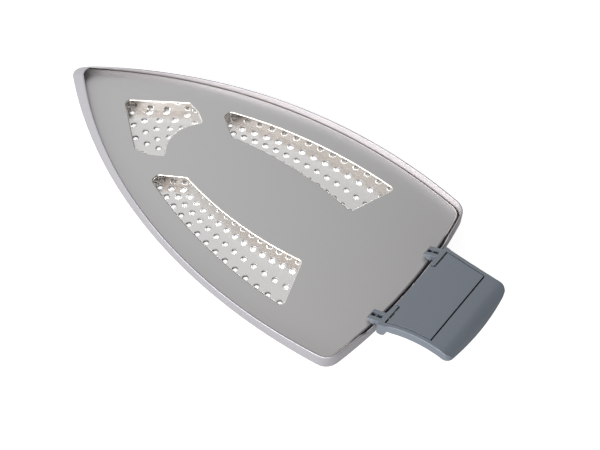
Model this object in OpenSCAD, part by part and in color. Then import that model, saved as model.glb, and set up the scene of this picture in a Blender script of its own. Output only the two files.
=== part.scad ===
// Iron shoe cover: a double-skinned pressed metal shoe that slips over the sole of a steam iron.
// The raked toe hooks over the tip of the iron and a sprung plastic latch holds its heel.
// +X points to the toe, +Z is the side that the iron sits in, and Z = 0 is the ironing face.

/* [Pan] */
// Length of the pan from its heel wall to the tip of its sole
pan_l = 246.5; // [220:0.5:260]
// Width of the pan at its widest place
pan_w = 127; // [112:0.5:140]
// Distance from the heel wall to the widest place
widest_at = 60.5; // [50:0.5:72]
// Height of the rim above the ironing face
pan_h = 13; // [12.5:0.1:16]
// Thickness of the pressed sole and wall
sheet = 1; // [0.8:0.1:1.2]
// How far the rim leans back from the sole at the toe
toe_rake = 10.5; // [6:0.5:12]
// Radius of the toe in plan
toe_r = 6; // [4:0.5:9]
// Radius of the heel arc in plan
heel_r = 280; // [220:5:400]
// Radius of the heel corners in plan
corner_r = 9; // [7:0.5:14]
// Radius between the ironing face and the wall
edge_r = 5.5; // [4:0.1:5.8]
// Half width of the lowered rim behind the latch
relief_w = 33; // [31:0.5:38]
// Depth of the lowered rim
relief_d = 2.5; // [1.5:0.1:3]

/* [Insert] */
// Height of the seat that carries the iron
seat_z = 8.5; // [8:0.1:9.5]
// Thickness of the insert
insert_t = 0.8; // [0.6:0.1:1.2]
// Depth of the insert's turned-down edge
skirt_h = 3; // [2:0.1:3.5]
// Gap between the insert and the side wall
side_gap = 0.5; // [0.3:0.1:1]
// Gap between the insert and the heel wall
heel_gap = 1.7; // [1.1:0.1:2]

/* [Steam wells] */
// Distance from the rim to the side wells
well_margin = 16; // [14:0.5:19]
// Distance from the heel to the rear end of the side wells
well_rear = 58.5; // [55:0.5:61]
// Distance from the heel to the front corner of the side wells
well_front = 150.5; // [140:0.5:156]
// Radius of the inner edge of the side wells
well_in_r = 211.5; // [190:0.5:240]
// Largest half width of the land between the side wells
land_w = 24; // [20:0.5:28]
// Corner radius of the wells
well_r = 1.8; // [1:0.1:2.5]
// Radius of a steam hole
hole_r = 1.35; // [1:0.05:1.6]
// Radius of the dished edge of a steam hole
dish_r = 2.2; // [1.8:0.05:2.4]
// Holes in each row of a side well
row_n = 14; // [8:1:15]
// Distance from the tip of the sole to the front of the toe well
toe_well = 44.5; // [40:0.5:52]
// Pitch of the chevrons of holes in the toe well
chevron = 10; // [9:0.1:10.5]

/* [Latch] */
// Reach of the lever behind the heel wall
latch_l = 41; // [38:0.5:48]
// Half width of the lever at its waist
latch_w = 25.15; // [23:0.05:27]
// Half width of the lever at its front corners
latch_front_w = 29.4; // [28.6:0.1:30]
// Height of the top of the lever's arch
latch_top = 22.8; // [22:0.1:24.5]
// Depth of the lever's side walls
latch_d = 5.6; // [5:0.1:7]
// Wall of the plastic mouldings
plastic = 1.8; // [1.4:0.1:2.2]
// Distance from the heel wall to the hinge pin
hinge_s = 2.3; // [2.3:0.1:3]
// Height of the hinge pin
hinge_z = 9.8; // [9.6:0.1:10.4]
// Radius of the hinge pin
pin_r = 1.25; // [1:0.05:1.3]
// Radius of the hinge barrels
barrel_r = 2.2; // [2.1:0.1:2.3]
// Width of each claw
claw_w = 6; // [5:0.1:7]
// Distance from the middle to the middle of a claw
claw_y = 24.1; // [23:0.1:25]
// Reach of the claws over the seat
claw_l = 7.6; // [6:0.1:9]
// Gap between the moving lever and the fixed panel
part_gap = 0.35; // [0.3:0.05:0.6]
// Gap in front of the panel's shoulders, which the lever's travel needs
shoulder_gap = 1; // [0.9:0.05:1.4]

/* [Hidden] */
steel = "#b7b7b8";
plastic_grey = "#6b757f";
wire_grey = "#9a9ca0";
eps = 0.01;
run_gap = 0.05;
full_l = pan_l + latch_l;
heel_x = latch_l - full_l / 2;
half_w = pan_w / 2;
toe_x = heel_x + pan_l;
wide_x = heel_x + widest_at;
sole_tip = pan_l - widest_at;
cavity_r = edge_r - sheet;
wall_gap = 0.05;

// Distance of the tip of the outline from the widest place, at height z
function tip_at(z) = sole_tip - toe_rake * max(z - edge_r, 0) / (pan_h - edge_r);
// Radius of the side arc that is tangent to the toe circle and reaches that tip
function side_r(tip) = (pow(tip - toe_r, 2) + pow(half_w, 2) - pow(toe_r, 2)) / (2 * (half_w - toe_r));
function arc(c, r, a0, a1, n) = [for (i = [0:n])
    let (a = a0 + (a1 - a0) * i / n)
    c + r * [cos(a), sin(a)]];
function heading(v) = atan2(v[1], v[0]);
// The crossing of two circles that lies on the positive side of the line between them
function meet(a, ra, b, rb) =
    let (v = b - a, d = norm(v), along = (d * d + ra * ra - rb * rb) / (2 * d))
    let (off = sqrt(ra * ra - along * along), u = v / d)
    a + along * u + off * [-u[1], u[0]];

// One half of the pan's plan at height z, drawn in by inset, and by heel_in at the heel
function half_outline(z, inset, heel_in) =
    let (r = side_r(tip_at(z)), side = [0, half_w - r])
    let (heel = [heel_r - widest_at, 0], hr = heel_r - heel_in)
    let (toe = [sqrt(pow(r - toe_r, 2) - pow(r - half_w, 2)), 0], cr = corner_r - inset)
    let (corner = meet(side, r - inset - cr, heel, hr - cr))
    let (a_toe = heading(toe - side), a_side = heading(corner - side), a_heel = heading(corner - heel))
    let (a_ramp = 180 - asin(ramp_w / hr), a_relief = 180 - asin(relief_w / hr))
    concat(
        arc(toe, toe_r - inset, 0, a_toe, 6),
        arc(side, r - inset, a_toe + 1, a_side, 27),
        arc(corner, cr, a_side + 12, a_heel, 6),
        arc(heel, hr, (a_heel + a_ramp) / 2, a_ramp, 1),
        arc(heel, hr, a_relief, 180, 5)
    );
function both_sides(half) = concat(half, [for (i = [len(half) - 2:-1:1]) [half[i][0], -half[i][1]]]);
ramp_w = relief_w + 2 * relief_d;
// A ring of points round the pan
function ring(z, inset, heel_in) =
    [for (p = both_sides(half_outline(z, inset, heel_in))) [wide_x + p[0], p[1], z]];
// The ring with its heel lowered for the latch, in step with its height
function drop_at(p) =
    p[0] > heel_x + corner_r ? 0 : min(max((ramp_w - abs(p[1])) / 2, 0), relief_d);
function pan_ring(z, inset) =
    let (share = max(z - edge_r, 0) / (pan_h - edge_r))
    [for (p = ring(z, inset, inset)) p - [0, 0, share * drop_at(p)]];
// A closed skin over a stack of rings, with a cap on the first and on the last
module skin(rings) {
    n = len(rings[0]);
    last = len(rings) - 1;
    polyhedron(
        [for (r = rings) each r],
        concat(
            [[for (i = [0:n - 1]) i]],
            [[for (i = [n - 1:-1:0]) last * n + i]],
            [for (j = [0:last - 1], i = [0:n - 1])
                let (a = j * n + i, b = j * n + (i + 1) % n)
                each [[a + n, b, a], [a + n, b + n, b]]]
        ),
        convexity = 8
    );
}

// Centre line of the side wells: both edges are arcs, so the rows of holes follow them
rim_r = side_r(tip_at(pan_h));
out_c = [wide_x, half_w - rim_r];
out_r = rim_r - well_margin;
in_c = [heel_x + 91.2, land_w - well_in_r];
row_out_r = out_r + 5.4;
row_c = [wide_x, half_w - well_margin - 3.75 - row_out_r];
row_in_r = well_in_r + 3.2;
front_x = heel_x + well_front;
rear_x = heel_x + well_rear;
nose_y = 27.4;
nose_angle = 32.5;
rear_angle = 109.5;
function on_arc(c, r, x) = acos((x - c[0]) / r);
row_out = [on_arc(row_c, row_out_r, front_x - 2), on_arc(row_c, row_out_r, rear_x - 8.8)];
row_in = [on_arc(in_c, row_in_r, front_x - 13), on_arc(in_c, row_in_r, rear_x - 1.6)];
function row_point(c, r, ends, k) =
    let (a = ends[0] + (ends[1] - ends[0]) * k / (row_n - 1))
    c + r * [cos(a), sin(a)];

module side_well() {
    offset(r = well_r, $fn = 32)
        offset(delta = -well_r)
            difference() {
                intersection() {
                    translate(out_c)
                        circle(out_r, $fn = 360);
                    polygon([
                        [front_x, half_w],
                        [front_x, nose_y],
                        [front_x - 30, nose_y - 30 * tan(nose_angle)],
                        [rear_x + 3, 0],
                        [rear_x + 3 + half_w / tan(rear_angle), half_w]
                    ]);
                }
                translate(in_c)
                    circle(well_in_r, $fn = 300);
            }
}
// Toe well: w runs back from its front, and its rear edge is notched by an arc
well_tip = toe_x - toe_well;
notch_w = 37.6;
notch_r = 20;
module toe_well_shape() {
    side = [[0, 1.5], [28.3, 21.9], [37, 20], [43.6, 16.2], [43.6, 0]];
    offset(r = well_r, $fn = 32)
        offset(delta = -well_r)
            difference() {
                polygon([for (s = [1, -1], p = (s > 0 ? side : [for (i = [4:-1:0]) side[i]]))
                    [well_tip - p[0], s * p[1]]]);
                translate([well_tip - notch_w - notch_r, 0])
                    circle(notch_r, $fn = 120);
            }
}
module wells() {
    side_well();
    mirror([0, 1])
        side_well();
    toe_well_shape();
}
// Centres of the steam holes: three rows in each side well, and chevrons in the toe well
side_holes = [for (k = [0:row_n - 1])
    let (a = row_point(row_c, row_out_r, row_out, k), b = row_point(in_c, row_in_r, row_in, k))
    each [a, (a + b) / 2, b]];
arm = [7.7, 6.4];
toe_half = concat(
    [for (r = [0:2], k = [1:min(2, 3 - r)])
        [chevron * r + k * arm[0] * (1 - 0.12 * r), k * arm[1] * (1 - 0.1 * r)]],
    [[26.3, 18.8], [34.2, 17.1], [31.1, 9.7]]
);
toe_line = [for (r = [0:3]) [chevron * r, 0]];
toe_holes = [for (p = concat(toe_line, toe_half, [for (q = toe_half) [q[0], -q[1]]]))
    [well_tip - 2.3 - p[0], p[1]]];
all_holes = concat(side_holes, [for (p = side_holes) [p[0], -p[1]]], toe_holes);

rivet_y = 5;
rivet_z = 7;
rivet_r = 1;
rivet_head_r = 1.5;
rivet_head_t = 0.7;
// The heel wall is curved, so the flat head stands off its middle
rivet_grip = sheet + heel_r - sqrt(pow(heel_r, 2) - pow(rivet_y + rivet_head_r, 2)) + run_gap / 5;

// Up the outside from the ironing face, over the rounded rim and down the inside to the floor
pan_rings = [
    for (a = [0:15:90]) pan_ring(edge_r * (1 - cos(a)), edge_r * (1 - sin(a))),
    for (a = [0:45:180]) let (r = sheet / 2) pan_ring(pan_h - r * (1 - sin(a)), r * (1 - cos(a))),
    for (a = [90:-15:0]) pan_ring(sheet + cavity_r * (1 - cos(a)), sheet + cavity_r * (1 - sin(a)))
];
module sole_pan() {
    color(steel)
        difference() {
            skin(pan_rings);
            for (p = all_holes)
                translate([p[0], p[1], 0]) {
                    translate([0, 0, -1])
                        cylinder(h = sheet + 2, r = hole_r, $fn = 24);
                    translate([0, 0, sheet / 2])
                        cylinder(h = sheet / 2 + eps, r1 = hole_r, r2 = dish_r, $fn = 24);
                }
            for (s = [1, -1])
                translate([heel_x - 1, s * rivet_y, rivet_z])
                    rotate([0, 90, 0])
                        cylinder(h = sheet + 2, r = rivet_r + 0.03, $fn = 24);
        }
}

insert_edge = 1.1;
insert_in = sheet + side_gap;
insert_heel_in = sheet + heel_gap;
// From the underside down the inside of the turned-down edge, then up its outside to the seat
function insert_ring(z, inset) = ring(z, insert_in + inset, insert_heel_in + inset);
insert_rings = [
    for (a = [90:-30:0])
        let (r = insert_edge - insert_t)
        insert_ring(seat_z - insert_t - r * (1 - sin(a)), insert_t + r * (1 - cos(a))),
    insert_ring(seat_z - skirt_h, insert_t),
    insert_ring(seat_z - skirt_h, 0),
    for (a = [0:30:90]) insert_ring(seat_z - insert_edge * (1 - sin(a)), insert_edge * (1 - cos(a)))
];
module insert_plate() {
    color(steel)
        difference() {
            union() {
                skin(insert_rings);
                translate([0, 0, sheet])
                    linear_extrude(seat_z - sheet - insert_t / 2)
                        offset(delta = insert_t)
                            wells();
            }
            linear_extrude(seat_z + 1)
                wells();
        }
}

// Latch: s runs back from the heel wall, so the latch is drawn along +X and mirrored into place
arch_r = 85;
curl_r = 8;
tail_d = 5.8;
tail_z = latch_top - tail_d;
curl_z = latch_top - curl_r;
crest_s = latch_l - sqrt(pow(curl_r, 2) - pow(tail_z - curl_z, 2));
arch_c = [crest_s, latch_top - arch_r];
curl_c = [crest_s, curl_z];
waist_s = latch_l - 10;
waist_r = (pow(waist_s, 2) + pow(latch_front_w - latch_w, 2)) / (2 * (latch_front_w - latch_w));
end_r = 135;
rail_w = 2;
lever_s = 0.3;
bar_s = 2.6;
panel_end = 26.4;
tail_gap = 0.7;
rear_rib = 4.5;
neck_w = 14.65;
neck_s = 0.8;
flange_t = 1.5;
jog_z = 11.6;
wire_r = 0.4;
coil_r = 2.1;
pin_end = latch_front_w - 1;
pin_blind = latch_front_w - 1.8;
module at_heel() {
    translate([heel_x, 0, 0])
        mirror([1, 0, 0])
            children();
}
// Extrudes a side profile along Y between two places
module across(y0, y1) {
    translate([0, y1, 0])
        rotate([90, 0, 0])
            linear_extrude(y1 - y0)
                children();
}
// Height of the lever's arch at a distance behind the heel
function crown_z(s) = arch_c[1] + sqrt(pow(arch_r, 2) - pow(s - crest_s, 2));
module crown(t) {
    polygon(concat(
        arc(arch_c, arch_r - t, 122, 90, 16),
        arc(curl_c, curl_r - t, 84, 0, 14),
        [[latch_l - t, 0], [-8, 0]]
    ));
}
// Plan of the lever, drawn in by inset: concave sides, a rounded tail and square front corners
module lever_plan(inset) {
    offset(delta = -inset)
        union() {
            offset(r = 4, $fn = 64)
                offset(delta = -4)
                    lever_blank();
            intersection() {
                lever_blank();
                translate([0, -40])
                    square([crest_s, 80]);
            }
        }
}
module lever_blank() {
    difference() {
        intersection() {
            translate([lever_s, -40])
                square([latch_l, 80]);
            translate([latch_l - end_r, 0])
                circle(end_r, $fn = 180);
        }
        for (s = [1, -1])
            translate([waist_s, s * (latch_w + waist_r)])
                circle(waist_r, $fn = 180);
    }
}
module panel_plan(gap, front, rear) {
    intersection() {
        lever_plan(rail_w + gap);
        translate([front, -40])
            square([rear - front, 80]);
    }
    translate([-1, -neck_w + gap - part_gap])
        square([front + 2, 2 * (neck_w - gap + part_gap)]);
}

module latch_base() {
    color(plastic_grey)
        at_heel()
            difference() {
                union() {
                    intersection() {
                        translate([0, 0, 10])
                            linear_extrude(20)
                                intersection() {
                                    panel_plan(part_gap, bar_s + shoulder_gap, panel_end);
                                    translate([neck_s, -40])
                                        square([latch_l, 80]);
                                }
                        across(-40, 40)
                            difference() {
                                crown(0);
                                crown(plastic);
                            }
                    }
                    intersection() {
                        across(-neck_w, neck_w)
                            union() {
                                translate([-1, edge_r + 0.2])
                                    square([1 + flange_t, jog_z - edge_r]);
                                translate([neck_s, jog_z])
                                    square([plastic, 14]);
                            }
                        across(-40, 40)
                            crown(plastic / 2);
                    }
                    for (y = [-neck_w + plastic / 2, -2.5 * plastic, 2.5 * plastic, neck_w - plastic / 2])
                        across(y - plastic / 2, y + plastic / 2)
                            intersection() {
                                polygon([[neck_s, 12.6], [6, 12.6], [20, 18.5], [20, 22], [neck_s, 20]]);
                                crown(plastic / 2);
                            }
                    intersection() {
                        linear_extrude(latch_top)
                            intersection() {
                                lever_plan(rail_w + part_gap);
                                translate([panel_end - plastic, -40])
                                    square([plastic, 80]);
                            }
                        across(-40, 40)
                            difference() {
                                crown(plastic / 2);
                                square([latch_l, crown_z(panel_end) - rear_rib]);
                            }
                    }
                    for (s = [1, -1])
                        across(s * (neck_w - 2.5) - 2.5, s * (neck_w - 2.5) + 2.5) {
                            translate([hinge_s, hinge_z])
                                circle(barrel_r, $fn = 40);
                            translate([1, hinge_z])
                                square([hinge_s + barrel_r - 1, 4]);
                        }
                }
                translate([-heel_r, 0, 0])
                    cylinder(h = 40, r = heel_r + wall_gap, $fn = 360);
                across(-pin_end - 1, pin_end + 1)
                    translate([hinge_s, hinge_z])
                        circle(pin_r + 0.01, $fn = 32);
                for (s = [1, -1])
                    translate([-1, s * rivet_y, rivet_z])
                        rotate([0, 90, 0])
                            cylinder(h = 4, r = rivet_r + 0.03, $fn = 24);
            }
}

claw_tip_z = 11.3;
claw_floor = seat_z + 0.4;
rim_low = pan_h - relief_d;
module claw_profile() {
    offset(r = 0.4)
        offset(delta = -0.4)
            polygon([
                [lever_s + 1, crown_z(lever_s + 1) - eps],
                [-claw_l + 0.9, claw_tip_z + 0.9],
                [-claw_l, claw_tip_z],
                [-claw_l + 2.7, claw_floor],
                [-2.9, claw_floor],
                [-2.5, rim_low + 0.6],
                [lever_s + 1, rim_low + 0.6]
            ]);
}
// The slot in a claw, with a low rib across it
slot_w = claw_w - 3.8;
rib_s = -claw_l * 0.6;
module slot_profile() {
    polygon([
        [1 - claw_l, claw_tip_z + 0.2],
        [2 - claw_l, claw_floor + 1.2],
        [rib_s, claw_floor + 1.2],
        [rib_s, claw_tip_z + 1.1],
        [rib_s + 1.2, claw_tip_z + 1.6],
        [rib_s + 1.2, rim_low + 1.6],
        [-0.3, rim_low + 1.6],
        [-0.3, latch_top],
        [1 - claw_l, latch_top]
    ]);
}
barrel_y = 22.8;
end_gap = 0.1;
module latch_lever() {
    color(plastic_grey)
        at_heel()
            difference() {
                union() {
                    difference() {
                        intersection() {
                            translate([0, 0, 5])
                                linear_extrude(30)
                                    lever_plan(0);
                            across(-40, 40)
                                difference() {
                                    crown(0);
                                    intersection() {
                                        translate([0, -latch_d])
                                            crown(0);
                                        translate([-10, 0])
                                            square([latch_l + 20, 40]);
                                    }
                                    translate([-10, -1])
                                        square([latch_l + 20, hinge_z + coil_r + wire_r + 1.7]);
                                    translate([crest_s, 0])
                                        square([latch_l, tail_z]);
                                }
                        }
                        intersection() {
                            translate([0, 0, 5])
                                linear_extrude(30)
                                    lever_plan(plastic);
                            across(-40, 40)
                                crown(plastic);
                        }
                        translate([0, 0, 5])
                            linear_extrude(30)
                                panel_plan(0, bar_s, panel_end + tail_gap);
                    }
                    for (s = [1, -1])
                        across(s * claw_y - claw_w / 2, s * claw_y + claw_w / 2)
                            claw_profile();
                    intersection() {
                        linear_extrude(latch_top)
                            lever_plan(0);
                        for (s = [1, -1])
                            across(min(s * barrel_y, s * 40), max(s * barrel_y, s * 40)) {
                                translate([hinge_s, hinge_z])
                                    circle(barrel_r, $fn = 40);
                                polygon([
                                    [lever_s, hinge_z],
                                    [hinge_s + barrel_r, hinge_z],
                                    [hinge_s + barrel_r + 1, hinge_z + 3],
                                    [hinge_s + barrel_r + 1, hinge_z + 5],
                                    [lever_s, crown_z(lever_s) - plastic / 2]
                                ]);
                            }
                    }
                }
                across(-pin_end - 2, pin_blind + end_gap)
                    translate([hinge_s, hinge_z])
                        circle(pin_r + run_gap, $fn = 32);
                for (s = [1, -1])
                    across(s * claw_y - slot_w / 2, s * claw_y + slot_w / 2)
                        slot_profile();
            }
}
module hinge_pin() {
    color(wire_grey)
        at_heel()
            across(-pin_end, pin_blind)
                translate([hinge_s, hinge_z])
                    circle(pin_r, $fn = 32);
}

// Torsion spring: a leg on the heel wall, a coil round the pin and a leg behind the lever's front bar
coil_turns = 4.3;
coil_y = 16.2;
coil_pitch = 0.9;
function coil_point(t) =
    let (a = -105 + 360 * coil_turns * t)
    [hinge_s + coil_r * cos(a), coil_y + coil_pitch * coil_turns * t, hinge_z + coil_r * sin(a)];
coil_end = coil_y + coil_pitch * coil_turns;
leg_s = bar_s + wire_r + run_gap;
leg_z = crown_z(bar_s) - plastic - wire_r;
spring_path = concat(
    [[0, coil_y, edge_r + 0.3], [0.1, coil_y, edge_r + 1.2]],
    [[hinge_s - 1.5, coil_y, hinge_z - coil_r - 0.2]],
    [for (i = [0:60]) coil_point(i / 60)],
    [[hinge_s + 1.7, coil_end, hinge_z + 2], [leg_s + 0.3, coil_end, leg_z - 1.4], [leg_s, coil_end, leg_z]]
);
// A round wire swept along a path that never runs along Y
module wire(path, r) {
    n = len(path);
    sides = 8;
    rings = [for (i = [0:n - 1])
        let (t = path[min(i + 1, n - 1)] - path[max(i - 1, 0)], u = t / norm(t))
        let (v0 = [0, 1, 0] - u[1] * u, v = v0 / norm(v0), w = cross(u, v))
        for (k = [0:sides - 1])
            path[i] + r * (cos(360 * k / sides) * v + sin(360 * k / sides) * w)];
    polyhedron(rings, concat(
        [[for (k = [0:sides - 1]) k]],
        [[for (k = [sides - 1:-1:0]) (n - 1) * sides + k]],
        [for (i = [0:n - 2], k = [0:sides - 1])
            let (a = i * sides, b = a + sides, next = (k + 1) % sides)
            [a + k, b + k, b + next, a + next]]
    ), convexity = 6);
}
module spring_left() {
    color(wire_grey)
        at_heel()
            wire(spring_path, wire_r);
}
module spring_right() {
    color(wire_grey)
        mirror([0, 1, 0])
            at_heel()
                wire(spring_path, wire_r);
}
module base_rivets() {
    color(wire_grey)
        at_heel()
            for (s = [1, -1])
                translate([0, s * rivet_y, rivet_z])
                    rotate([0, 90, 0]) {
                        translate([0, 0, -rivet_grip - rivet_head_t])
                            cylinder(h = rivet_head_t, r = rivet_head_r, $fn = 32);
                        translate([0, 0, -rivet_grip])
                            cylinder(h = rivet_grip + flange_t, r = rivet_r, $fn = 24);
                        translate([0, 0, flange_t])
                            cylinder(h = 0.6, r = rivet_head_r - 0.1, $fn = 32);
                    }
}

sole_pan();
insert_plate();
latch_base();
latch_lever();
hinge_pin();
spring_left();
spring_right();
base_rivets();
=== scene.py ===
import math

import bmesh
import bpy
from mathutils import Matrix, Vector
from mathutils.kdtree import KDTree


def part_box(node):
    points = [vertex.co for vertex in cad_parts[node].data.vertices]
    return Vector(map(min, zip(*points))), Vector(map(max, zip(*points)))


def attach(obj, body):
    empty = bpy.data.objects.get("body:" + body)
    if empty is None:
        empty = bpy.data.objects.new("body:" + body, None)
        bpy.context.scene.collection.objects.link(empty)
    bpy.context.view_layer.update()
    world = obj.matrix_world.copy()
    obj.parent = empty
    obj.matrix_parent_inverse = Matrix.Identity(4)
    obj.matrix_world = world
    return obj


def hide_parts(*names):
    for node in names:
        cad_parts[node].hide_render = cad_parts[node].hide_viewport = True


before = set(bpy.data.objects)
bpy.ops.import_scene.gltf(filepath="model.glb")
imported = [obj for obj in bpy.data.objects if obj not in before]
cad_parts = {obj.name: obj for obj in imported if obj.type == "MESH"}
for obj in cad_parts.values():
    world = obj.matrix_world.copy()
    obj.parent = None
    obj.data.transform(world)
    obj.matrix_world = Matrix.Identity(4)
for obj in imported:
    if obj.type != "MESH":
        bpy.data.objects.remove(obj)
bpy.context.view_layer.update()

mm = 0.001
print("frame loaded")

# the pan's box gives the driving sizes, in millimetres; the rest are listed below
panLow, panHigh = [Vector(corner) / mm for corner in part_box("sole_pan")]
seatLow, seatHigh = [Vector(corner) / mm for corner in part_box("insert_plate")]
heelX = panLow.x
toeX = panHigh.x
halfWidth = panHigh.y
panHeight = panHigh.z
seatHeight = seatHigh.z

panSettings = {
    "sheet": 1.0,
    "widestAt": 60.5,
    "toeRake": 10.5,
    "toeRadius": 6.0,
    "heelRadius": 280.0,
    "cornerRadius": 9.0,
    "edgeRadius": 5.5,
    "reliefWidth": 33.0,
    "reliefRamp": 5.0,
    "reliefDepth": 2.5,
    "holeRadius": 1.35,
    "dishRadius": 2.2,
    "rimSoftness": 0.42,
}
wideX = heelX + panSettings["widestAt"]


def deselectAll():
    if bpy.context.object and bpy.context.object.mode != "OBJECT":
        bpy.ops.object.mode_set(mode="OBJECT")
    bpy.ops.object.select_all(action="DESELECT")


def pick(piece):
    deselectAll()
    piece.select_set(True)
    bpy.context.view_layer.objects.active = piece


def arcPoints(centre, radius, start, end, steps):
    points = []
    for i in range(steps + 1):
        angle = math.radians(start + (end - start) * i / steps)
        points.append((centre[0] + radius * math.cos(angle), centre[1] + radius * math.sin(angle)))
    return points


def heading(fromPoint, toPoint):
    return math.degrees(math.atan2(toPoint[1] - fromPoint[1], toPoint[0] - fromPoint[0]))


def tipAt(z):
    rise = max(z - panSettings["edgeRadius"], 0) / (panHeight - panSettings["edgeRadius"])
    return toeX - wideX - panSettings["toeRake"] * rise


def sideRadius(tip):
    toe = panSettings["toeRadius"]
    return ((tip - toe) ** 2 + halfWidth ** 2 - toe ** 2) / (2 * (halfWidth - toe))


def crossing(a, ra, b, rb):
    # the crossing of two circles on the left of the way from a to b
    gap = math.dist(a, b)
    along = (gap ** 2 + ra ** 2 - rb ** 2) / (2 * gap)
    off = math.sqrt(ra ** 2 - along ** 2)
    ux, uy = (b[0] - a[0]) / gap, (b[1] - a[1]) / gap
    return (a[0] + along * ux - off * uy, a[1] + along * uy + off * ux)


def panOutline(z, inset, heelIn):
    # the plan of the pan at height z, drawn in by inset, and by heelIn at the heel
    radius = sideRadius(tipAt(z))
    side = (0, halfWidth - radius)
    heel = (panSettings["heelRadius"] - panSettings["widestAt"], 0)
    toeRadius = panSettings["toeRadius"]
    toe = (math.sqrt((radius - toeRadius) ** 2 - (radius - halfWidth) ** 2), 0)
    corner = panSettings["cornerRadius"] - inset
    cornerAt = crossing(side, radius - inset - corner, heel, panSettings["heelRadius"] - heelIn - corner)
    aToe = heading(side, toe)
    aSide = heading(side, cornerAt)
    aHeel = heading(heel, cornerAt)
    half = arcPoints(toe, toeRadius - inset, 0, aToe, 10)
    half += arcPoints(side, radius - inset, aToe, aSide, 120)[1:]
    half += arcPoints(cornerAt, corner, aSide, aHeel, 12)[1:]
    half += arcPoints(heel, panSettings["heelRadius"] - heelIn, aHeel, 180, 40)[1:]
    full = half + [(x, -y) for x, y in reversed(half[1:-1])]
    return [(wideX + x, y) for x, y in full]


def rimDrop(x, y):
    # how far the rim is lowered behind the latch
    if x > heelX + panSettings["cornerRadius"]:
        return 0
    t = (panSettings["reliefWidth"] + panSettings["reliefRamp"] - abs(y)) / panSettings["reliefRamp"]
    t = min(max(t, 0), 1)
    return panSettings["reliefDepth"] * t * t * (3 - 2 * t)


def panRing(z, inset, heelIn=None):
    edge = panSettings["edgeRadius"]
    share = max(z - edge, 0) / (panHeight - edge)
    ring = []
    for x, y in panOutline(z, inset, inset if heelIn is None else heelIn):
        ring.append((x, y, z - share * rimDrop(x, y)))
    return ring


def stackRings(name, rings, capFirst=False, capLast=False):
    # a circle is laid on the first ring, then its edge is extruded onto each of the others
    deselectAll()
    bpy.ops.mesh.primitive_circle_add(vertices=len(rings[0]), radius=mm)
    piece = bpy.context.object
    piece.name = name
    for vertex, point in zip(piece.data.vertices, rings[0]):
        vertex.co = Vector(point) * mm
    bpy.ops.object.mode_set(mode="EDIT")
    bpy.ops.mesh.select_all(action="SELECT")
    if capFirst:
        bpy.ops.mesh.edge_face_add()
    for before, after in zip(rings, rings[1:]):
        bpy.ops.mesh.extrude_edges_indiv()
        mesh = bmesh.from_edit_mesh(piece.data)
        places = KDTree(len(before))
        for i, point in enumerate(before):
            places.insert(Vector(point) * mm, i)
        places.balance()
        for vertex in mesh.verts:
            if vertex.select:
                vertex.co = Vector(after[places.find(vertex.co)[1]]) * mm
        bmesh.update_edit_mesh(piece.data)
    if capLast:
        bpy.ops.mesh.edge_face_add()
    bpy.ops.mesh.select_all(action="SELECT")
    bpy.ops.mesh.normals_make_consistent(inside=False)
    bpy.ops.object.mode_set(mode="OBJECT")
    return piece


def circleRing(x, y, z, radius, count=28):
    return [(px, py, z) for px, py in arcPoints((x, y), radius, 0, 360, count)[:-1]]


def shift(points, distance):
    # a closed loop, counter-clockwise from above, moved outward by distance
    moved = []
    for i, (x, y) in enumerate(points):
        before, after = points[i - 1], points[(i + 1) % len(points)]
        along = Vector((after[0] - before[0], after[1] - before[1])).normalized()
        moved.append((x + distance * along.y, y - distance * along.x))
    return moved


def roundedLoop(edges, radius, steps=7):
    # edges are lines of points, each ending where the next starts; their corners are rounded
    loop = []
    for i, edge in enumerate(edges):
        ahead = edges[(i + 1) % len(edges)]
        corner = Vector(edge[-1])
        into = (corner - Vector(edge[-2])).normalized()
        out = (Vector(ahead[1]) - corner).normalized()
        turn = math.atan2(into.x * out.y - into.y * out.x, into.dot(out))
        reach = radius * math.tan(turn / 2)
        loop.append((edge, corner, into, turn, reach))
    points = []
    for i, (edge, corner, into, turn, reach) in enumerate(loop):
        reachBefore = loop[i - 1][4]
        start = Vector(edge[0])
        for point in edge[1:-1]:
            here = Vector(point)
            if (here - start).length > reachBefore + 0.3 and (here - corner).length > reach + 0.3:
                points.append((here.x, here.y))
        left = Vector((-into.y, into.x))
        centre = corner - into * reach + left * radius
        startAngle = math.degrees(math.atan2(-left.y, -left.x))
        points += arcPoints(centre, radius, startAngle, startAngle + math.degrees(turn), steps)
    return points


def line(a, b, steps=8):
    return [(a[0] + (b[0] - a[0]) * i / steps, a[1] + (b[1] - a[1]) * i / steps) for i in range(steps + 1)]


def hit(start, angle, centre, radius):
    # where a ray first crosses a circle
    dx, dy = math.cos(math.radians(angle)), math.sin(math.radians(angle))
    fx, fy = start[0] - centre[0], start[1] - centre[1]
    b = fx * dx + fy * dy
    root = math.sqrt(b * b - (fx * fx + fy * fy - radius * radius))
    t = min(value for value in (-b - root, -b + root) if value > 0)
    return (start[0] + t * dx, start[1] + t * dy)


def arcBetween(centre, radius, start, end, steps):
    return arcPoints(centre, radius, heading(centre, start), heading(centre, end), steps)


# camera, at the photograph's viewing angle
camera = bpy.data.cameras.new("photoCamera")
cameraObject = bpy.data.objects.new("photoCamera", camera)
bpy.context.scene.collection.objects.link(cameraObject)
cameraAt = Vector((heelX - 111.75, 223.4, 419.75)) * mm
lookAt = Vector((heelX + 72.35, -0.28, 1.0)) * mm
cameraObject.location = cameraAt
cameraObject.rotation_euler = (lookAt - cameraAt).to_track_quat("-Z", "Y").to_euler()
camera.sensor_width = 36
camera.lens = 56.72
camera.clip_start = 0.01
bpy.context.scene.camera = cameraObject
print("camera set")


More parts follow.
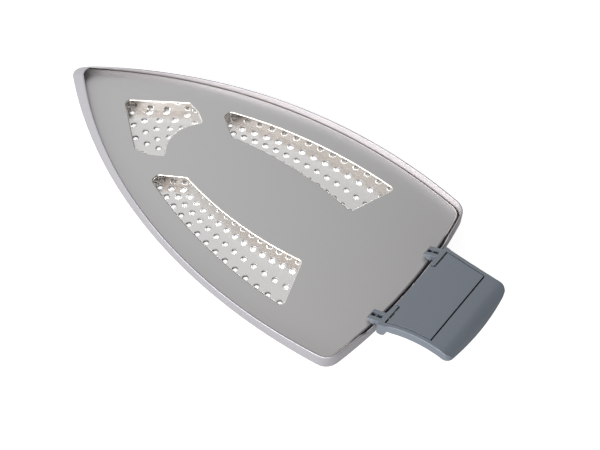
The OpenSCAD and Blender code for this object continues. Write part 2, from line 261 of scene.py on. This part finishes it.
# steam wells: a side well follows the side arcs, and the toe well points at the toe
wellSettings = {
    "margin": 16.0,
    "rear": 58.5,
    "front": 150.5,
    "innerAt": 91.2,
    "innerRadius": 211.5,
    "landWidth": 24.0,
    "noseY": 27.4,
    "noseAngle": 32.5,
    "rearAngle": 109.5,
    "cornerRadius": 1.8,
    "rowHoles": 14,
    "toeTip": 44.5,
    "toeSide": [(0, 1.5), (28.3, 21.9), (37.0, 20.0), (43.6, 16.2)],
    "notchAt": 37.6,
    "notchRadius": 20.0,
    "chevron": 10.0,
    "chevronArm": (7.7, 6.4),
}
rimRadius = sideRadius(tipAt(panHeight))
outerCentre = (wideX, halfWidth - rimRadius)
outerRadius = rimRadius - wellSettings["margin"]
innerCentre = (heelX + wellSettings["innerAt"], wellSettings["landWidth"] - wellSettings["innerRadius"])
frontX = heelX + wellSettings["front"]
rearX = heelX + wellSettings["rear"]
toeWellX = toeX - wellSettings["toeTip"]


def sideWellLoop():
    innerRadius = wellSettings["innerRadius"]
    nose = (frontX, wellSettings["noseY"])
    frontTop = hit(nose, 90, outerCentre, outerRadius)
    rearFoot = (rearX + 3, 0)
    rearTop = hit(rearFoot, wellSettings["rearAngle"], outerCentre, outerRadius)
    rearLow = hit(rearFoot, wellSettings["rearAngle"], innerCentre, innerRadius)
    frontLow = hit(nose, 180 + wellSettings["noseAngle"], innerCentre, innerRadius)
    edges = [
        arcBetween(outerCentre, outerRadius, frontTop, rearTop, 60),
        line(rearTop, rearLow, 14),
        arcBetween(innerCentre, innerRadius, rearLow, frontLow, 50),
        line(frontLow, nose, 10),
        line(nose, frontTop, 6),
    ]
    return roundedLoop(edges, wellSettings["cornerRadius"])


def toeWellLoop():
    side = [(toeWellX - w, y) for w, y in wellSettings["toeSide"]]
    rear = wellSettings["toeSide"][-1][0]
    radius = wellSettings["notchRadius"]
    notchCentre = (toeWellX - wellSettings["notchAt"] - radius, 0)
    notchY = math.sqrt(radius ** 2 - (wellSettings["notchAt"] + radius - rear) ** 2)
    other = [(x, -y) for x, y in reversed(side)]
    rearX = toeWellX - rear
    edges = [line(other[-1], side[0], 2)]
    edges += [line(a, b, 12) for a, b in zip(side, side[1:])]
    edges.append(line(side[-1], (rearX, notchY), 2))
    edges.append(arcBetween(notchCentre, radius, (rearX, notchY), (rearX, -notchY), 20))
    edges.append(line((rearX, -notchY), other[0], 2))
    edges += [line(a, b, 12) for a, b in zip(other, other[1:])]
    return roundedLoop(edges, 1.2)


def holeCentres():
    # three rows in each side well and chevrons in the toe well
    rowRadius = outerRadius + 5.4
    rowCentre = (wideX, halfWidth - wellSettings["margin"] - 3.75 - rowRadius)
    rowOut = (rowCentre, rowRadius, frontX - 2, rearX - 8.8)
    rowIn = (innerCentre, wellSettings["innerRadius"] + 3.2, frontX - 13, rearX - 1.6)
    rows = []
    for centre, radius, front, rear in (rowOut, rowIn):
        start = math.degrees(math.acos((front - centre[0]) / radius))
        end = math.degrees(math.acos((rear - centre[0]) / radius))
        rows.append(arcPoints(centre, radius, start, end, wellSettings["rowHoles"] - 1))
    side = []
    for a, b in zip(*rows):
        side += [a, ((a[0] + b[0]) / 2, (a[1] + b[1]) / 2), b]
    step = wellSettings["chevron"]
    armX, armY = wellSettings["chevronArm"]
    toeHalf = [(26.3, 18.8), (34.2, 17.1), (31.1, 9.7)]
    for row in range(3):
        for k in range(1, min(2, 3 - row) + 1):
            toeHalf.append((step * row + k * armX * (1 - 0.12 * row), k * armY * (1 - 0.1 * row)))
    toe = [(step * row, 0) for row in range(4)] + toeHalf + [(w, -y) for w, y in toeHalf]
    return side + [(x, -y) for x, y in side] + [(toeWellX - 2.3 - w, y) for w, y in toe]


def panRings():
    edge, sheet = panSettings["edgeRadius"], panSettings["sheet"]
    inner = edge - sheet
    rings = []
    for a in range(0, 91, 9):
        c, sn = math.cos(math.radians(a)), math.sin(math.radians(a))
        rings.append(panRing(edge * (1 - c), edge * (1 - sn)))
    rings.append(panRing((edge + panHeight) / 2, 0))
    for a in range(0, 181, 22):
        c, sn = math.cos(math.radians(a)), math.sin(math.radians(a))
        rings.append(panRing(panHeight - sheet / 2 * (1 - sn), sheet / 2 * (1 - c)))
    rings.append(panRing((edge + panHeight) / 2, sheet))
    for a in range(90, -1, -9):
        c, sn = math.cos(math.radians(a)), math.sin(math.radians(a))
        rings.append(panRing(sheet + inner * (1 - c), sheet + inner * (1 - sn)))
    return rings


def cutHoles(piece):
    # one dished punch is laid at every hole, and all are cut at once
    sheet, hole, dish = panSettings["sheet"], panSettings["holeRadius"], panSettings["dishRadius"]
    profile = [(-1, hole), (sheet * 0.45, hole)]
    for a in range(18, 91, 18):
        c, sn = math.cos(math.radians(a)), math.sin(math.radians(a))
        profile.append((sheet * (0.45 + 0.55 * sn), hole + (dish - hole) * (1 - c)))
    profile.append((sheet + 1, dish + 0.1))
    punch = stackRings("punch", [circleRing(0, 0, z, r) for z, r in profile], True, True)
    punches = []
    for x, y in holeCentres():
        pick(punch)
        bpy.ops.object.duplicate()
        copy = bpy.context.object
        copy.location = Vector((x, y, 0)) * mm
        punches.append(copy)
    deselectAll()
    for copy in punches:
        copy.select_set(True)
    bpy.context.view_layer.objects.active = punches[0]
    bpy.ops.object.join()
    cutter = bpy.context.object
    bpy.ops.object.transform_apply(location=True, rotation=True, scale=True)
    pick(piece)
    cut = piece.modifiers.new("holes", "BOOLEAN")
    cut.object = cutter
    cut.solver = "EXACT"
    bpy.ops.object.modifier_apply(modifier=cut.name)
    bpy.data.objects.remove(cutter)
    bpy.data.objects.remove(punch)


def smoothSurface(piece, angle=35):
    pick(piece)
    bpy.ops.object.mode_set(mode="EDIT")
    bpy.ops.mesh.select_all(action="SELECT")
    bpy.ops.mesh.dissolve_degenerate(threshold=2e-6)
    bpy.ops.object.mode_set(mode="OBJECT")
    bpy.ops.object.shade_smooth_by_angle(angle=math.radians(angle))
    weighted = piece.modifiers.new("evenNormals", "WEIGHTED_NORMAL")
    weighted.keep_sharp = True
    bpy.ops.object.modifier_apply(modifier=weighted.name)


pan = stackRings("solePan", panRings(), True, True)
cutHoles(pan)
smoothSurface(pan)
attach(pan, "cover")
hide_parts("sole_pan")
print("sole pan made", len(pan.data.polygons))

insertSettings = {"thickness": 0.8, "sideGap": 0.7, "heelGap": 1.7, "edge": 0.9, "collarEdge": 0.8, "skirt": 3.0}


def makeInsert():
    edge, collar = insertSettings["edge"], insertSettings["collarEdge"]
    sideIn = panSettings["sheet"] + insertSettings["sideGap"]
    heelIn = panSettings["sheet"] + insertSettings["heelGap"]

    def insertRing(z, inset):
        return [(x, y, z) for x, y in panOutline(z, sideIn + inset, heelIn + inset)]

    rings = [insertRing(seatHeight - insertSettings["skirt"], 0)]
    for a in range(0, 91, 15):
        c, sn = math.cos(math.radians(a)), math.sin(math.radians(a))
        rings.append(insertRing(seatHeight - edge * (1 - sn), edge * (1 - c)))
    parts = [stackRings("insertPlate", rings)]
    side = sideWellLoop()
    for loop in (side, [(x, -y) for x, y in reversed(side)], toeWellLoop()):
        rings = []
        for a in range(0, 91, 15):
            c, sn = math.cos(math.radians(a)), math.sin(math.radians(a))
            z = seatHeight - collar * (1 - c)
            rings.append([(x, y, z) for x, y in shift(loop, collar * (1 - sn))])
        rings.append([(x, y, panSettings["sheet"]) for x, y in loop])
        parts.append(stackRings("collar", rings))
    deselectAll()
    for part in parts:
        part.select_set(True)
    bpy.context.view_layer.objects.active = parts[0]
    bpy.ops.object.join()
    plate = bpy.context.object
    bpy.ops.object.mode_set(mode="EDIT")
    bpy.ops.mesh.select_mode(type="EDGE")
    bpy.ops.mesh.select_all(action="DESELECT")
    mesh = bmesh.from_edit_mesh(plate.data)
    top = seatHeight * mm - 1e-6
    for joint in mesh.edges:
        if joint.is_boundary and all(v.co.z > top for v in joint.verts):
            joint.select_set(True)
    bmesh.update_edit_mesh(plate.data)
    bpy.ops.mesh.fill(use_beauty=False)
    bpy.ops.mesh.select_all(action="SELECT")
    bpy.ops.mesh.normals_make_consistent(inside=False)
    bpy.ops.object.mode_set(mode="OBJECT")
    seat = max(plate.data.polygons, key=lambda face: face.area)
    if seat.normal.z < 0:
        pick(plate)
        bpy.ops.object.mode_set(mode="EDIT")
        bpy.ops.mesh.select_all(action="SELECT")
        bpy.ops.mesh.flip_normals()
        bpy.ops.object.mode_set(mode="OBJECT")
    pick(plate)
    wall = plate.modifiers.new("wall", "SOLIDIFY")
    wall.thickness = insertSettings["thickness"] * mm
    wall.offset = -1
    bpy.ops.object.modifier_apply(modifier=wall.name)
    smoothSurface(plate)
    return plate


insert = makeInsert()
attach(insert, "cover")
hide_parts("insert_plate")
print("insert made", len(insert.data.polygons))


def bevelEdges(piece, keys, width, segments):
    pick(piece)
    bpy.context.tool_settings.mesh_select_mode = (False, True, False)
    bpy.ops.object.mode_set(mode="EDIT")
    bpy.ops.mesh.select_all(action="DESELECT")
    bpy.ops.object.mode_set(mode="OBJECT")
    for edge in piece.data.edges:
        edge.select = edge.key in keys
    bpy.ops.object.mode_set(mode="EDIT")
    bpy.ops.mesh.bevel(offset=width * mm, segments=segments, affect="EDGES", miter_outer="ARC")
    bpy.ops.object.mode_set(mode="OBJECT")


def outerEdges(mesh, angle):
    # edges that stick out by more than the angle, read from the winding of the faces beside them
    normals = {}
    for face in mesh.polygons:
        corners = list(face.vertices)
        for a, b in zip(corners, corners[1:] + corners[:1]):
            normals[a, b] = face.normal.copy()
    found = set()
    for (a, b), normal in normals.items():
        beside = normals.get((b, a), normal)
        along = mesh.vertices[b].co - mesh.vertices[a].co
        if normal.angle(beside, 0) > angle and normal.cross(beside).dot(along) > 0:
            found.add((min(a, b), max(a, b)))
    return found


def railEdges(mesh, reach):
    # the long edges between the top of the arched frame and its outer sides
    top, side = set(), set()
    for face in mesh.polygons:
        x, y, z = face.center / mm
        if x > heelX - 4:
            continue
        if face.normal.z > 0.5:
            top.update(face.edge_keys)
        elif abs(face.normal.y) > 0.7 and face.normal.y * y > 0 and abs(y) > reach:
            side.update(face.edge_keys)
    return top & side


def dressNode(node, name, body, width=0.3, segments=3, rail=None):
    # a merged copy of a solid, with its outer edges broken as a mould or a tool leaves them
    pick(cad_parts[node])
    bpy.ops.object.duplicate()
    piece = bpy.context.object
    piece.name = name
    piece.data.name = name
    piece.data.materials.clear()
    bpy.ops.object.mode_set(mode="EDIT")
    bpy.ops.mesh.select_all(action="SELECT")
    bpy.ops.mesh.remove_doubles(threshold=2e-6)
    bpy.ops.mesh.dissolve_limited(angle_limit=math.radians(0.5))
    bpy.ops.mesh.remove_doubles(threshold=3e-5)
    bpy.ops.object.mode_set(mode="OBJECT")
    if rail:
        bevelEdges(piece, railEdges(piece.data, rail["reach"]), rail["width"], 3)
    if width:
        bevelEdges(piece, outerEdges(piece.data, math.radians(32)), width, segments)
    smoothSurface(piece, 40)
    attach(piece, body)
    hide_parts(node)
    return piece


latchBase = dressNode("latch_base", "latchBase", "cover", 0.16, 2)
latchLever = dressNode("latch_lever", "latchLever", "lever", 0, 2,
                       rail={"reach": 22, "width": 0.6})
hingePin = dressNode("hinge_pin", "hingePin", "cover", 0.2, 2)
springLeft = dressNode("spring_left", "springLeft", "cover", 0)
springRight = dressNode("spring_right", "springRight", "cover", 0)
baseRivets = dressNode("base_rivets", "baseRivets", "cover", 0.2, 3)
print("latch dressed")


def finishGroup():
    # colour, roughness and height that vary over a surface, shared by every material
    group = bpy.data.node_groups.new("surfaceFinish", "ShaderNodeTree")
    sockets = group.interface
    sockets.new_socket(name="Position", in_out="INPUT", socket_type="NodeSocketVector")
    for title, value in (("Grain Length", 30.0), ("Grain Width", 900.0), ("Cloud Scale", 9.0),
                         ("Roughness", 0.3), ("Roughness Spread", 0.06)):
        sockets.new_socket(name=title, in_out="INPUT", socket_type="NodeSocketFloat").default_value = value
    for title in ("Dark", "Light"):
        sockets.new_socket(name=title, in_out="INPUT", socket_type="NodeSocketColor")
    sockets.new_socket(name="Color", in_out="OUTPUT", socket_type="NodeSocketColor")
    sockets.new_socket(name="Roughness", in_out="OUTPUT", socket_type="NodeSocketFloat")
    sockets.new_socket(name="Height", in_out="OUTPUT", socket_type="NodeSocketFloat")
    nodes, links = group.nodes, group.links
    inside = nodes.new("NodeGroupInput")
    outside = nodes.new("NodeGroupOutput")
    stretch = nodes.new("ShaderNodeCombineXYZ")
    links.new(inside.outputs["Grain Length"], stretch.inputs["X"])
    links.new(inside.outputs["Grain Width"], stretch.inputs["Y"])
    links.new(inside.outputs["Grain Width"], stretch.inputs["Z"])
    scaled = nodes.new("ShaderNodeVectorMath")
    scaled.operation = "MULTIPLY"
    links.new(inside.outputs["Position"], scaled.inputs[0])
    links.new(stretch.outputs[0], scaled.inputs[1])
    grain = nodes.new("ShaderNodeTexNoise")
    grain.inputs["Scale"].default_value = 1
    grain.inputs["Detail"].default_value = 5
    links.new(scaled.outputs[0], grain.inputs["Vector"])
    cloud = nodes.new("ShaderNodeTexNoise")
    cloud.inputs["Detail"].default_value = 4
    cloud.inputs["Roughness"].default_value = 0.6
    links.new(inside.outputs["Position"], cloud.inputs["Vector"])
    links.new(inside.outputs["Cloud Scale"], cloud.inputs["Scale"])
    spread = nodes.new("ShaderNodeMath")
    spread.operation = "MULTIPLY_ADD"
    centred = nodes.new("ShaderNodeMath")
    centred.operation = "SUBTRACT"
    centred.inputs[1].default_value = 0.5
    links.new(cloud.outputs["Fac"], centred.inputs[0])
    links.new(centred.outputs[0], spread.inputs[0])
    links.new(inside.outputs["Roughness Spread"], spread.inputs[1])
    links.new(inside.outputs["Roughness"], spread.inputs[2])
    blend = nodes.new("ShaderNodeMix")
    blend.data_type = "RGBA"
    tint = nodes.new("ShaderNodeMath")
    tint.operation = "MULTIPLY_ADD"
    both = nodes.new("ShaderNodeMath")
    both.operation = "ADD"
    links.new(grain.outputs["Fac"], both.inputs[0])
    links.new(cloud.outputs["Fac"], both.inputs[1])
    links.new(both.outputs[0], tint.inputs[0])
    tint.inputs[1].default_value = 0.5
    tint.inputs[2].default_value = 0
    links.new(tint.outputs[0], blend.inputs["Factor"])
    links.new(inside.outputs["Dark"], blend.inputs[6])
    links.new(inside.outputs["Light"], blend.inputs[7])
    links.new(blend.outputs[2], outside.inputs["Color"])
    links.new(spread.outputs[0], outside.inputs["Roughness"])
    links.new(grain.outputs["Fac"], outside.inputs["Height"])
    return group


surfaceFinish = finishGroup()


def makeMaterial(name, look):
    material = bpy.data.materials.new(name)
    material.use_nodes = True
    nodes, links = material.node_tree.nodes, material.node_tree.links
    shader = nodes["Principled BSDF"]
    place = nodes.new("ShaderNodeTexCoord")
    finish = nodes.new("ShaderNodeGroup")
    finish.node_tree = surfaceFinish
    links.new(place.outputs["Object"], finish.inputs["Position"])
    for title in ("Grain Length", "Grain Width", "Cloud Scale", "Roughness", "Roughness Spread"):
        finish.inputs[title].default_value = look[title]
    finish.inputs["Dark"].default_value = (*look["Dark"], 1)
    finish.inputs["Light"].default_value = (*look["Light"], 1)
    links.new(finish.outputs["Color"], shader.inputs["Base Color"])
    links.new(finish.outputs["Roughness"], shader.inputs["Roughness"])
    bump = nodes.new("ShaderNodeBump")
    bump.inputs["Strength"].default_value = look["Bump"]
    bump.inputs["Distance"].default_value = 0.0002
    links.new(finish.outputs["Height"], bump.inputs["Height"])
    links.new(bump.outputs["Normal"], shader.inputs["Normal"])
    shader.inputs["Metallic"].default_value = look["Metallic"]
    shader.inputs["Specular IOR Level"].default_value = look.get("Specular", 0.5)
    return material


seatSteel = makeMaterial("seatSteel", {
    "Grain Length": 60, "Grain Width": 1500, "Cloud Scale": 6, "Roughness": 0.42, "Roughness Spread": 0.05,
    "Dark": (0.48, 0.48, 0.483), "Light": (0.515, 0.515, 0.518), "Bump": 0.02, "Metallic": 1.0,
})
floorSteel = makeMaterial("floorSteel", {
    "Grain Length": 60, "Grain Width": 1200, "Cloud Scale": 30, "Roughness": 0.26, "Roughness Spread": 0.08,
    "Dark": (0.6, 0.595, 0.59), "Light": (0.7, 0.695, 0.69), "Bump": 0.03, "Metallic": 1.0,
})
# a paler, glossier copy of the seat's steel for the collars and side edges; the paler colour is a painted
# highlight
litCollarSteel = makeMaterial("litCollarSteel", {
    "Grain Length": 500, "Grain Width": 500, "Cloud Scale": 40, "Roughness": 0.14, "Roughness Spread": 0.06,
    "Dark": (0.8, 0.78, 0.75), "Light": (0.9, 0.88, 0.85), "Bump": 0.02, "Metallic": 1.0,
})
drawnSteel = makeMaterial("drawnSteel", {
    "Grain Length": 60, "Grain Width": 700, "Cloud Scale": 20, "Roughness": 0.34, "Roughness Spread": 0.06,
    "Dark": (0.38, 0.375, 0.405), "Light": (0.43, 0.425, 0.455), "Bump": 0.03, "Metallic": 0.58,
})
# a paler, duller copy of drawnSteel for the inside of the pan's wall: painted light
litInnerWallSteel = makeMaterial("litInnerWallSteel", {
    "Grain Length": 60, "Grain Width": 700, "Cloud Scale": 20, "Roughness": 0.4, "Roughness Spread": 0.06,
    "Dark": (0.62, 0.59, 0.61), "Light": (0.7, 0.67, 0.69), "Bump": 0.03, "Metallic": 0.4,
})
mouldedPlastic = makeMaterial("mouldedPlastic", {
    "Grain Length": 2600, "Grain Width": 2600, "Cloud Scale": 30, "Roughness": 0.3, "Roughness Spread": 0.08,
    "Dark": (0.14, 0.162, 0.193), "Light": (0.168, 0.194, 0.23), "Bump": 0.06, "Metallic": 0.0,
})
# near-black plastic for the walls of the tail gap, a painted shade
paintedGapShade = makeMaterial("paintedGapShade", {
    "Grain Length": 2600, "Grain Width": 2600, "Cloud Scale": 30, "Roughness": 0.8, "Roughness Spread": 0.08,
    "Dark": (0.012, 0.014, 0.017), "Light": (0.02, 0.023, 0.028), "Bump": 0.06, "Metallic": 0.0, "Specular": 0.1,
})
drawnWire = makeMaterial("drawnWire", {
    "Grain Length": 900, "Grain Width": 900, "Cloud Scale": 60, "Roughness": 0.3, "Roughness Spread": 0.1,
    "Dark": (0.45, 0.45, 0.46), "Light": (0.6, 0.6, 0.61), "Bump": 0.05, "Metallic": 1.0,
})


def paint(piece, materials, choose=None):
    piece.data.materials.clear()
    for material in materials:
        piece.data.materials.append(material)
    for face in piece.data.polygons:
        face.material_index = choose(face) if choose else 0


def panFinishAndLitWall(face):
    # the flat inside of the pan is satin; the inside of its wall, away from the heel, is paler than the outside,
    # as painted light
    x, y, z = face.center / mm
    if face.normal.z > 0.7 and z < panSettings["sheet"] + 0.1:
        return 1
    inward = face.normal.y * y < 0 and x > heelX + 4
    return 2 if inward and panSettings["sheet"] + 0.1 < z < panHeight - 0.3 else 0


def insertFinishAndLitCollars(face):
    # satin seat and heel edge; the collars and the side edges get a paler, glossier copy of the steel, whose
    # paler colour is a painted highlight
    x, y, z = face.center / mm
    if (face.normal.z > 0.98 and z > seatHeight - 0.05) or x < heelX + 6:
        return 0
    return 1


paint(pan, [drawnSteel, floorSteel, litInnerWallSteel], panFinishAndLitWall)
paint(insert, [seatSteel, litCollarSteel], insertFinishAndLitCollars)


def latchFinishAndGapShade(face):
    # the walls of the gap at the tail are dull, and painted near black as painted shade of the deep gap
    fromTail = heelX - face.center.x / mm
    atGap = 23 < fromTail < 28 and abs(face.normal.x) > 0.9
    return 1 if atGap else 0


for piece in (latchBase, latchLever):
    paint(piece, [mouldedPlastic, paintedGapShade], latchFinishAndGapShade)
for piece in (hingePin, springLeft, springRight, baseRivets):
    paint(piece, [drawnWire])
print("materials set")


# studio: white backdrop, a low soft box on the near side, and two dim parts of the sky for the steel
studio = {
    "paper": 0.4,
    "lift": 0.9,
    "liftInSteel": 0.7,
    "shadeReach": 14,
    "heelFade": {"from": heelX - 22, "to": heelX + 20, "least": 0.05},
    "skyLight": 0.5,
    "dimSky": [
        {"azimuth": 225, "elevation": 35, "from": 0.5, "to": 0.95, "colour": (0.1, 0.09, 0.08)},
        {"azimuth": 100, "elevation": 70, "from": 0.75, "to": 0.97, "colour": (0.72, 0.64, 0.6)},
        {"azimuth": 285, "elevation": 12, "from": 0.82, "to": 0.96, "colour": (0.12, 0.1, 0.1)},
    ],
    "lowRadiance": 7.0,
}


def direction(azimuth, elevation):
    a, e = math.radians(azimuth), math.radians(elevation)
    return Vector((math.cos(a) * math.cos(e), math.sin(a) * math.cos(e), math.sin(e)))


def cameraOrGlossy(nodes, links):
    seen = nodes.new("ShaderNodeLightPath")
    either = nodes.new("ShaderNodeMath")
    either.operation = "MAXIMUM"
    links.new(seen.outputs["Is Camera Ray"], either.inputs[0])
    links.new(seen.outputs["Is Glossy Ray"], either.inputs[1])
    return seen, either


deselectAll()
bpy.ops.mesh.primitive_plane_add(size=6)
floor = bpy.context.object
floor.name = "floor"
floor.location.z = -0.0002
floorMaterial = bpy.data.materials.new("floorWhite")
floorMaterial.use_nodes = True
floor.data.materials.append(floorMaterial)
nodes, links = floorMaterial.node_tree.nodes, floorMaterial.node_tree.links
paper = nodes["Principled BSDF"]
paper.inputs["Base Color"].default_value = (studio["paper"], studio["paper"], studio["paper"], 1)
paper.inputs["Roughness"].default_value = 0.9
paper.inputs["Emission Color"].default_value = (1, 1, 1, 1)
# the camera sees white paper; the steel mirrors a painted glow of it, which fades towards the heel as a painted
# dark reflection
seen = nodes.new("ShaderNodeLightPath")
place = nodes.new("ShaderNodeTexCoord")
along = nodes.new("ShaderNodeSeparateXYZ")
fade = nodes.new("ShaderNodeMapRange")
fade.inputs["From Min"].default_value = studio["heelFade"]["from"] * mm
fade.inputs["From Max"].default_value = studio["heelFade"]["to"] * mm
fade.inputs["To Min"].default_value = studio["heelFade"]["least"]
fade.inputs["To Max"].default_value = studio["liftInSteel"]
links.new(place.outputs["Object"], along.inputs[0])
links.new(along.outputs["X"], fade.inputs["Value"])
mirrored = nodes.new("ShaderNodeMath")
mirrored.operation = "MULTIPLY"
links.new(seen.outputs["Is Glossy Ray"], mirrored.inputs[0])
links.new(fade.outputs[0], mirrored.inputs[1])
# and the painted glow is taken away underneath the cover, as painted shade
openSky = nodes.new("ShaderNodeAmbientOcclusion")
openSky.samples = 8
openSky.inputs["Distance"].default_value = studio["shadeReach"] * mm
shaded = nodes.new("ShaderNodeMath")
shaded.operation = "MULTIPLY"
links.new(mirrored.outputs[0], shaded.inputs[0])
links.new(openSky.outputs["AO"], shaded.inputs[1])
lift = nodes.new("ShaderNodeMath")
lift.operation = "MULTIPLY_ADD"
lift.inputs[1].default_value = studio["lift"]
links.new(seen.outputs["Is Camera Ray"], lift.inputs[0])
links.new(shaded.outputs[0], lift.inputs[2])
links.new(lift.outputs[0], paper.inputs["Emission Strength"])

world = bpy.data.worlds.new("studioWorld")
bpy.context.scene.world = world
world.use_nodes = True
nodes, links = world.node_tree.nodes, world.node_tree.links
backdrop = nodes["Background"]
seen, either = cameraOrGlossy(nodes, links)
level = nodes.new("ShaderNodeMapRange")
level.inputs["To Min"].default_value = studio["skyLight"]
level.inputs["To Max"].default_value = 1.0
links.new(either.outputs[0], level.inputs["Value"])
links.new(level.outputs[0], backdrop.inputs["Strength"])
sky = nodes.new("ShaderNodeTexCoord")
colour = None
for zone in studio["dimSky"]:
    toward = nodes.new("ShaderNodeVectorMath")
    toward.operation = "DOT_PRODUCT"
    toward.inputs[1].default_value = direction(zone["azimuth"], zone["elevation"])
    links.new(sky.outputs["Generated"], toward.inputs[0])
    reach = nodes.new("ShaderNodeMapRange")
    reach.interpolation_type = "SMOOTHSTEP"
    reach.inputs["From Min"].default_value = zone["from"]
    reach.inputs["From Max"].default_value = zone["to"]
    links.new(toward.outputs["Value"], reach.inputs["Value"])
    blend = nodes.new("ShaderNodeMix")
    blend.data_type = "RGBA"
    blend.inputs[6].default_value = (1, 1, 1, 1)
    blend.inputs[7].default_value = (*zone["colour"], 1)
    links.new(reach.outputs[0], blend.inputs["Factor"])
    if colour:
        links.new(colour, blend.inputs[6])
    colour = blend.outputs[2]
plain = nodes.new("ShaderNodeMix")
plain.data_type = "RGBA"
plain.inputs[7].default_value = (1, 1, 1, 1)
links.new(seen.outputs["Is Camera Ray"], plain.inputs["Factor"])
links.new(colour, plain.inputs[6])
links.new(plain.outputs[2], backdrop.inputs["Color"])


def softBox(name, azimuth, elevation, distance, size, radiance, colour):
    lamp = bpy.data.lights.new(name, "AREA")
    lamp.shape = "RECTANGLE"
    lamp.size, lamp.size_y = size
    lamp.energy = radiance * math.pi * size[0] * size[1]
    lamp.color = colour
    box = bpy.data.objects.new(name, lamp)
    bpy.context.scene.collection.objects.link(box)
    box.location = direction(azimuth, elevation) * distance
    box.rotation_euler = (-box.location).to_track_quat("-Z", "Y").to_euler()
    return box


softBox("lowLight", 92, 26, 1.4, (3.0, 0.6), studio["lowRadiance"], (1.0, 0.99, 0.98))
bpy.context.scene.view_settings.view_transform = "Standard"
print("studio lit")
